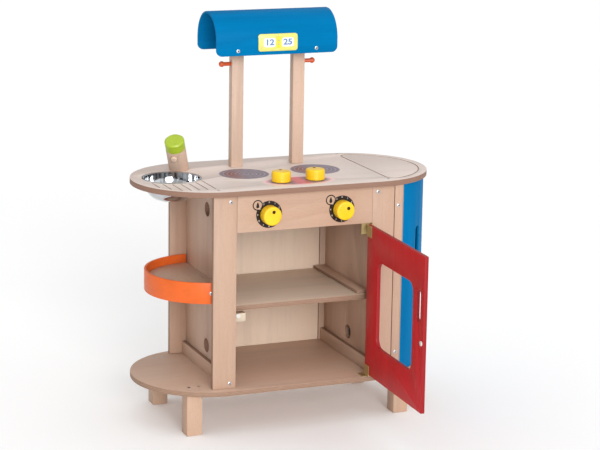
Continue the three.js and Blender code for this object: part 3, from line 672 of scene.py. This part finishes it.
def build_dials():
    black = ink("dial_black", BLACK, 0.4)
    white = ink("dial_white", DIAL_WHITE, 0.5)
    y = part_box("control_panel")[0].y
    for side in ("left", "right"):
        low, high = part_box("oven_knob_" + side)
        x = (low.x + high.x) / 2
        z = (low.z + high.z) / 2
        dial = front_print(disc("dial_" + side, DIAL_RADIUS, PRINT_THICKNESS), x, z, y)
        paint(dial, black)
        belong_to(dial, "control_panel")
        for step in range(DIAL_MARKS):
            angle = math.radians(90 - 360 / DIAL_MARKS * step)
            mark = numeral("dial_mark_%s_%d" % (side, step), str(step), 5.4 * MM, 0.08 * MM, white)
            mark.data.transform(Matrix.Translation((0, 0, 0.2 * MM)))
            front_print(mark, x + DIAL_MARK_CIRCLE * math.cos(angle),
                        z + DIAL_MARK_CIRCLE * math.sin(angle), y)
            belong_to(mark, "control_panel")
        ring_x = x - SYMBOL_ASIDE
        ring_z = z + SYMBOL_ABOVE
        ring = front_print(disc("symbol_ring_" + side, 12 * MM, 0.22 * MM, 9.6 * MM), ring_x, ring_z, y)
        paint(ring, black)
        belong_to(ring, "control_panel")
        field = front_print(disc("symbol_field_" + side, 9.5 * MM, 0.2 * MM), ring_x, ring_z, y)
        paint(field, wood("symbol_field_wood_" + side, BIRCH, "x", 9))
        belong_to(field, "control_panel")
        flame = flame_symbol("symbol_flame_" + side)
        flame.data.transform(Matrix.Translation((0, -3.2 * MM, 0.22 * MM)))
        front_print(flame, ring_x, ring_z, y)
        paint(flame, black)
        belong_to(flame, "control_panel")


def flame_symbol(name):
    """A small flat flame: a disc drawn up into a point."""
    radius = 3.6 * MM
    piece = disc(name, radius, 0.12 * MM, sides=32)
    for vertex in piece.data.vertices:
        if vertex.co.y > 0:
            lift = min(vertex.co.y / radius, 1)
            vertex.co.x *= (1 - lift) ** 0.35
            vertex.co.y *= 2.8
    return piece


def build_knobs():
    knob("oven_knob_left", FRONT, 1.7, 9.5)
    knob("oven_knob_right", FRONT, 5.8, 5.8)
    knob("hob_knob_left", UP, 1.8, 10.5)
    knob("hob_knob_right", UP, 1.8, 10.5)
    build_dials()


# ---------------------------------------------------------------- sink and tap

def build_sink():
    low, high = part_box("sink_bowl")
    centre = (low + high) / 2
    lip = (high.x - low.x) / 2
    depth = high.z - low.z
    rim = lip - 4.6 * MM
    drop = depth - 1.6 * MM
    outside = []
    inside = []
    for step in range(13):
        angle = step / 12 * math.pi / 2
        out = rim * math.sin(angle) ** 0.72
        down = depth - drop * math.cos(angle) ** 0.85
        outside.append((out, down - 1.6 * MM))
        inside.append((max(out - SINK_WALL, 0), down - 1.6 * MM + SINK_WALL))
    edge = [(rim, depth - 1.6 * MM), (lip - 0.6 * MM, depth - 1.5 * MM), (lip, depth - 0.9 * MM),
            (lip - 0.5 * MM, depth - 0.2 * MM), (lip - 1.5 * MM, depth), (rim + 0.4 * MM, depth - 0.1 * MM),
            (rim - SINK_WALL, depth - 1.4 * MM)]
    inside.reverse()
    profile = outside[:-1] + edge + inside[1:]
    piece = turned("sink_bowl_spun", profile, 96)
    paint(piece, metal("sink_steel", STEEL, 0.09, (30, 30, 900), 0.06))
    placed(piece, Vector((centre.x, centre.y, low.z)))
    stand_for(piece, "sink_bowl")


def build_tap():
    finished("tap_column", "_turned", 0.8 * MM, wood("tap_column_wood", POST, "z", 50))
    finished("tap_spout", "_dowel", 0.5 * MM, wood("tap_spout_wood", SPOUT, "z", 51))
    finished("tap_cap", "_turned", 1.0 * MM, lacquer("tap_green", GREEN, 0.45, 4))


# ---------------------------------------------------------------- canopy details

def build_pegs():
    for side in ("left", "right"):
        finished("peg_" + side, "_turned", 0.4 * MM, lacquer("peg_orange_" + side, PEG_ORANGE, 0.4, 5))


def rounded_plate(name, width, height, corner, thickness):
    """A flat plate with round corners, lying on z = 0 and centred on the origin."""
    deselect()
    bpy.ops.mesh.primitive_plane_add(size=1)
    piece = name_piece(bpy.context.object, name)
    piece.scale = (width, height, 1)
    settle(piece)
    bpy.ops.object.mode_set(mode="EDIT")
    bpy.ops.mesh.select_all(action="SELECT")
    bpy.ops.mesh.bevel(offset=corner, segments=6, affect="VERTICES")
    bpy.ops.mesh.select_all(action="SELECT")
    bpy.ops.mesh.extrude_region_move(TRANSFORM_OT_translate={"value": (0, 0, thickness)})
    bpy.ops.mesh.select_all(action="SELECT")
    bpy.ops.mesh.normals_make_consistent(inside=False)
    bpy.ops.object.mode_set(mode="OBJECT")
    return piece


def build_clock():
    finished("clock_panel", "_face", 0.5 * MM, lacquer("clock_pale_yellow", CLOCK_PALE, 0.35, 6))
    low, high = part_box("clock_panel")
    middle = (low + high) / 2
    y = low.y - 0.05 * MM
    bright = lacquer("clock_bright_yellow", CLOCK_BRIGHT, 0.35, 7)
    white = ink("clock_white", WHITE, 0.4, 0.05)
    blue = ink("clock_digit_blue", DIGIT, 0.4)
    stripe = front_print(rounded_plate("clock_stripe", 10 * MM, 26 * MM, 2 * MM, PRINT_THICKNESS),
                         middle.x + 1.5 * MM, middle.z, y)
    paint(stripe, bright)
    belong_to(stripe, "clock_panel")
    for side, place, text in (("left", -20.5 * MM, "12"), ("right", 23.5 * MM, "25")):
        window = rounded_plate("clock_window_" + side, 29 * MM, 21 * MM, 5 * MM, 0.2 * MM)
        front_print(window, middle.x + place, middle.z, y)
        paint(window, white)
        belong_to(window, "clock_panel")
        digits = numeral("clock_digits_" + side, text, 18.5 * MM, 0.6 * MM, blue)
        digits.data.transform(Matrix.Diagonal((1.2, 1, 1, 1)))
        digits.data.transform(Matrix.Translation((0, 0, 0.25 * MM)))
        front_print(digits, middle.x + place, middle.z, y)
        belong_to(digits, "clock_panel")
    for row, height in (("upper", 4 * MM), ("lower", -4 * MM)):
        dot = front_print(disc("clock_colon_" + row, 1.3 * MM, 0.3 * MM, sides=24),
                          middle.x + 1.5 * MM, middle.z + height, y)
        paint(dot, blue)
        belong_to(dot, "clock_panel")


# ---------------------------------------------------------------- hinges, magnets and screws

def build_hinges():
    brass = metal("hinge_brass", BRASS, 0.5, (500, 500, 60), 0.15)
    for door in ("oven", "fridge"):
        for level in ("upper", "lower"):
            for leaf in ("frame", "door"):
                node = "%s_hinge_%s_%s_leaf" % (door, level, leaf)
                finished(node, "_brass", 0.2 * MM, brass, segments=1)


def build_magnets():
    white = lacquer("magnet_white", MAGNET_WHITE, 0.4, 8)
    for node in ("door_magnet", "catch_magnet"):
        finished(node, "_disc", 0.5 * MM, white)


def make_screw(material, recess):
    """A countersunk wood screw's head with a cross recess painted in darker steel as painted shade, rising a
    little over z = 0.
    """
    head = turned("screw_pattern", [(0, -0.5 * MM), (4.1 * MM, -0.5 * MM), (4.2 * MM, 0.1 * MM),
                                    (3.6 * MM, 0.45 * MM), (2.0 * MM, 0.62 * MM), (0, 0.66 * MM)], 32)
    for turn in (0, math.pi / 2):
        deselect()
        bpy.ops.mesh.primitive_cube_add(size=1)
        cutter = bpy.context.object
        bar = Matrix.Diagonal((4.6 * MM, 1.1 * MM, 1.6 * MM, 1))
        cutter.data.transform(Matrix.Rotation(turn, 4, "Z") @ bar @ Matrix.Translation((0, 0, 0.5)))
        modify(head, "BOOLEAN", object=cutter, operation="DIFFERENCE", solver="EXACT")
        bpy.data.objects.remove(cutter)
    smooth(head)
    paint(head, material, recess)
    # painted shade: the faces of the cross recess get the darker steel
    paint_faces(head, 1, lambda face: -0.4 * MM < face.center.z < 0.5 * MM
                and math.hypot(face.center.x, face.center.y) < 2.6 * MM)
    return head


def build_screws():
    pattern = make_screw(metal("screw_steel", STEEL, 0.36, (900, 900, 900), 0.15),
                         metal("screw_recess", RECESS_SHADE_STEEL, 0.5, (900, 900, 900), 0.15))
    count = 0

    def drive(node, place, direction, size=1.0):
        nonlocal count
        count += 1
        screw = copy_of(pattern, "screw_%02d" % count)
        screw.data.transform(Matrix.Scale(size, 4))
        placed(screw, place, direction, 0.7 * count)
        belong_to(screw, node)

    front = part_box("stile_front_left")[0].y
    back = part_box("stile_rear_left")[1].y
    for sign, side in ((-1, "left"), (1, "right")):
        low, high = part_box("stile_front_" + side)
        inner = (high.x if sign < 0 else low.x) + sign * 14 * MM
        for z in (high.z - 15 * MM, low.z + 11 * MM):
            drive("stile_front_" + side, Vector((inner, front, z)), FRONT)
            drive("stile_rear_" + side, Vector((inner, back, z)), -FRONT)
    batten_low, batten_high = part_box("fridge_door_front_batten")
    batten_x = (batten_low.x + batten_high.x) / 2
    for z in (batten_high.z - 48 * MM, batten_low.z + 44 * MM):
        drive("fridge_door_front_batten", Vector((batten_x, batten_low.y, z)), FRONT)
        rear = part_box("fridge_door_rear_batten")[1].y
        drive("fridge_door_rear_batten", Vector((batten_x, rear, z)), -FRONT)

    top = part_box("worktop")[1].z
    middle_y = (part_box("worktop")[0].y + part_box("worktop")[1].y) / 2
    for x, y in ((-203, -147), (203, -147), (-208, 156), (208, 156)):
        drive("worktop", Vector((x * MM, middle_y + y * MM, top)), UP)
    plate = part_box("base_plate")[1].z
    for sign in (-1, 1):
        for x in (236, 259):
            for y in (-117, 124):
                drive("base_plate", Vector((sign * x * MM, middle_y + y * MM, plate)), UP)
    canopy_low, canopy_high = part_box("canopy")
    for sign in (-1, 1):
        place = Vector((sign * 95 * MM, canopy_low.y, canopy_low.z + 11 * MM))
        drive("canopy", place, FRONT)
        drive("canopy", Vector((place.x, canopy_high.y, place.z)), -FRONT)
    cleat_low, cleat_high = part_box("shelf_cleat_right")
    drive("shelf_cleat_right", Vector((cleat_low.x + 7 * MM, cleat_high.y - 12 * MM, cleat_high.z)), UP,
          CLEAT_SCREW)
    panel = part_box("side_panel_right")[0].x
    drive("side_panel_right", Vector((panel, middle_y - 10 * MM, cleat_low.z + 42 * MM)), Vector((-1, 0, 0)),
          CLEAT_SCREW)
    for y in (-12, 14):
        drive("side_shelf", Vector((-190 * MM, middle_y + y * MM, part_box("side_shelf")[1].z)), UP)
    rail_low, rail_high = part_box("side_shelf_rail")
    for sign in (-1, 1):
        lean = Vector((-36, sign * 135, 0)).normalized()
        place = Vector((RAIL_CENTRE_X, middle_y, (rail_low.z + rail_high.z) / 2)) + lean * RAIL_RADIUS
        drive("side_shelf_rail", place, lean)
    screw_hinges(drive)
    bpy.data.objects.remove(pattern)


def screw_hinges(drive):
    """Small screws in the oven's jamb and base plate leaves, and at the back in the fridge's leaves."""
    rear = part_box("stile_rear_right")[1].y + LEAF
    for level in ("upper", "lower"):
        jamb = "oven_hinge_%s_frame_leaf" % level
        jamb_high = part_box(jamb)[1]
        door_leaf = "fridge_hinge_%s_door_leaf" % level
        leaf_low, leaf_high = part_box(door_leaf)
        for z in (6, 19):
            drive(jamb, Vector((jamb_high.x - 1.1 * MM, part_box("stile_front_right")[0].y + 6 * MM,
                                jamb_high.z + (z - HINGE_HEIGHT) * MM)), Vector((-1, 0, 0)), SMALL_SCREW)
            drive(door_leaf, Vector((leaf_high.x - 8 * MM, rear, leaf_low.z + z * MM)), -FRONT, SMALL_SCREW)
            drive("fridge_hinge_%s_frame_leaf" % level,
                  Vector((leaf_low.x - 9 * MM, rear, leaf_low.z + z * MM)), -FRONT, SMALL_SCREW)
    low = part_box("oven_hinge_lower_frame_leaf")[0]
    for y in (7, 18):
        drive("oven_hinge_lower_frame_leaf",
              Vector((low.x + 8 * MM, low.y + y * MM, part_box("base_plate")[1].z + LEAF)), UP, SMALL_SCREW)


def dress_hidden_solids():
    steel = metal("spindle_steel", STEEL, 0.3)
    for node in ("oven_knob_spindle_left", "oven_knob_spindle_right", "hob_knob_spindle_left",
                 "hob_knob_spindle_right"):
        paint(frame["nodes"][node], steel)
    paint(frame["nodes"]["tap_spindle"], wood("tap_spindle_wood", BEECH, "z", 60))


# ---------------------------------------------------------------- floor, light and camera

def build_studio():
    deselect()
    bpy.ops.mesh.primitive_plane_add(size=60)
    floor = name_piece(bpy.context.object, "floor")
    material, tree, surface = new_material("floor_white", roughness=0.9, specular=0.1)
    tone = noise(tree, object_place(tree, (0, 0, 0), (0.4, 0.4, 0.4)), 1.0, 2)
    body = ramp(tree, tone, (0.3, (0.93, 0.93, 0.93, 1)), (0.7, (0.95, 0.95, 0.95, 1)))
    tree.links.new(body, surface.inputs["Base Color"])
    paint(floor, material)

    world = bpy.data.worlds.new("studio")
    bpy.context.scene.world = world
    world.use_nodes = True
    sky = world.node_tree
    background = sky.nodes["Background"]
    direction = add(sky, "TexCoord").outputs["Generated"]
    level = add(sky, "VectorMath", {"operation": "MULTIPLY"}, i0=direction, i1=(1.0, 1.0, 0.2)).outputs[0]
    around = add(sky, "VectorMath", {"operation": "NORMALIZE"}, i0=level).outputs[0]
    strips = add(sky, "TexNoise", Vector=around, Scale=3.4, Detail=1.0).outputs["Fac"]
    mirrored = ramp(sky, strips, (0.5, (0.04, 0.045, 0.06, 1)), (0.58, (1.3, 1.3, 1.3, 1)))
    glossy = add(sky, "LightPath").outputs["Is Glossy Ray"]
    plain = (0.98, 0.98, 0.98, 1.0)
    sky.links.new(blend(sky, glossy, plain, mirrored), background.inputs["Color"])
    background.inputs["Strength"].default_value = 0.42

    sun("key_light", (-0.14, -1.0, 0.27), 2.3, 30)
    sun("top_light", (0.05, -0.1, 1.0), 1.6, 150)


def sun(name, towards, strength, width):
    """A broad soft light that shines from the direction named, its width in degrees."""
    deselect()
    bpy.ops.object.light_add(type="SUN")
    lamp = bpy.context.object
    lamp.name = name
    lamp.data.energy = strength
    lamp.data.angle = math.radians(width)
    lamp.rotation_euler = Vector(towards).to_track_quat("Z", "Y").to_euler()


CAMERA_TARGET = Vector((-14.3, 153.1, 524.5)) * MM
CAMERA_DISTANCE = 4.6316
CAMERA_AZIMUTH = math.radians(-21.794)
CAMERA_ELEVATION = math.radians(11.871)
CAMERA_ROLL = math.radians(0.753)
CAMERA_LENS = 122.17
CAMERA_SHIFT = (0.0430, -0.0647)
SENSOR_WIDTH = 36


def build_camera():
    back = Vector((math.sin(CAMERA_AZIMUTH) * math.cos(CAMERA_ELEVATION),
                   -math.cos(CAMERA_AZIMUTH) * math.cos(CAMERA_ELEVATION),
                   math.sin(CAMERA_ELEVATION)))
    deselect()
    bpy.ops.object.camera_add(location=CAMERA_TARGET + back * CAMERA_DISTANCE)
    camera = bpy.context.object
    level = (-back).to_track_quat("-Z", "Y").to_matrix()
    camera.rotation_euler = (level @ Matrix.Rotation(CAMERA_ROLL, 3, "Z")).to_euler()
    camera.data.lens = CAMERA_LENS
    camera.data.sensor_width = SENSOR_WIDTH
    camera.data.shift_x, camera.data.shift_y = CAMERA_SHIFT
    camera.data.clip_end = 200
    bpy.context.scene.camera = camera


bpy.context.scene.view_settings.view_transform = "Standard"
build_carcass()
build_timber()
build_stained_boards()
build_worktop()
build_prints()
build_knobs()
build_sink()
build_tap()
build_pegs()
build_clock()
build_hinges()
build_magnets()
build_screws()
dress_hidden_solids()
build_studio()
build_camera()
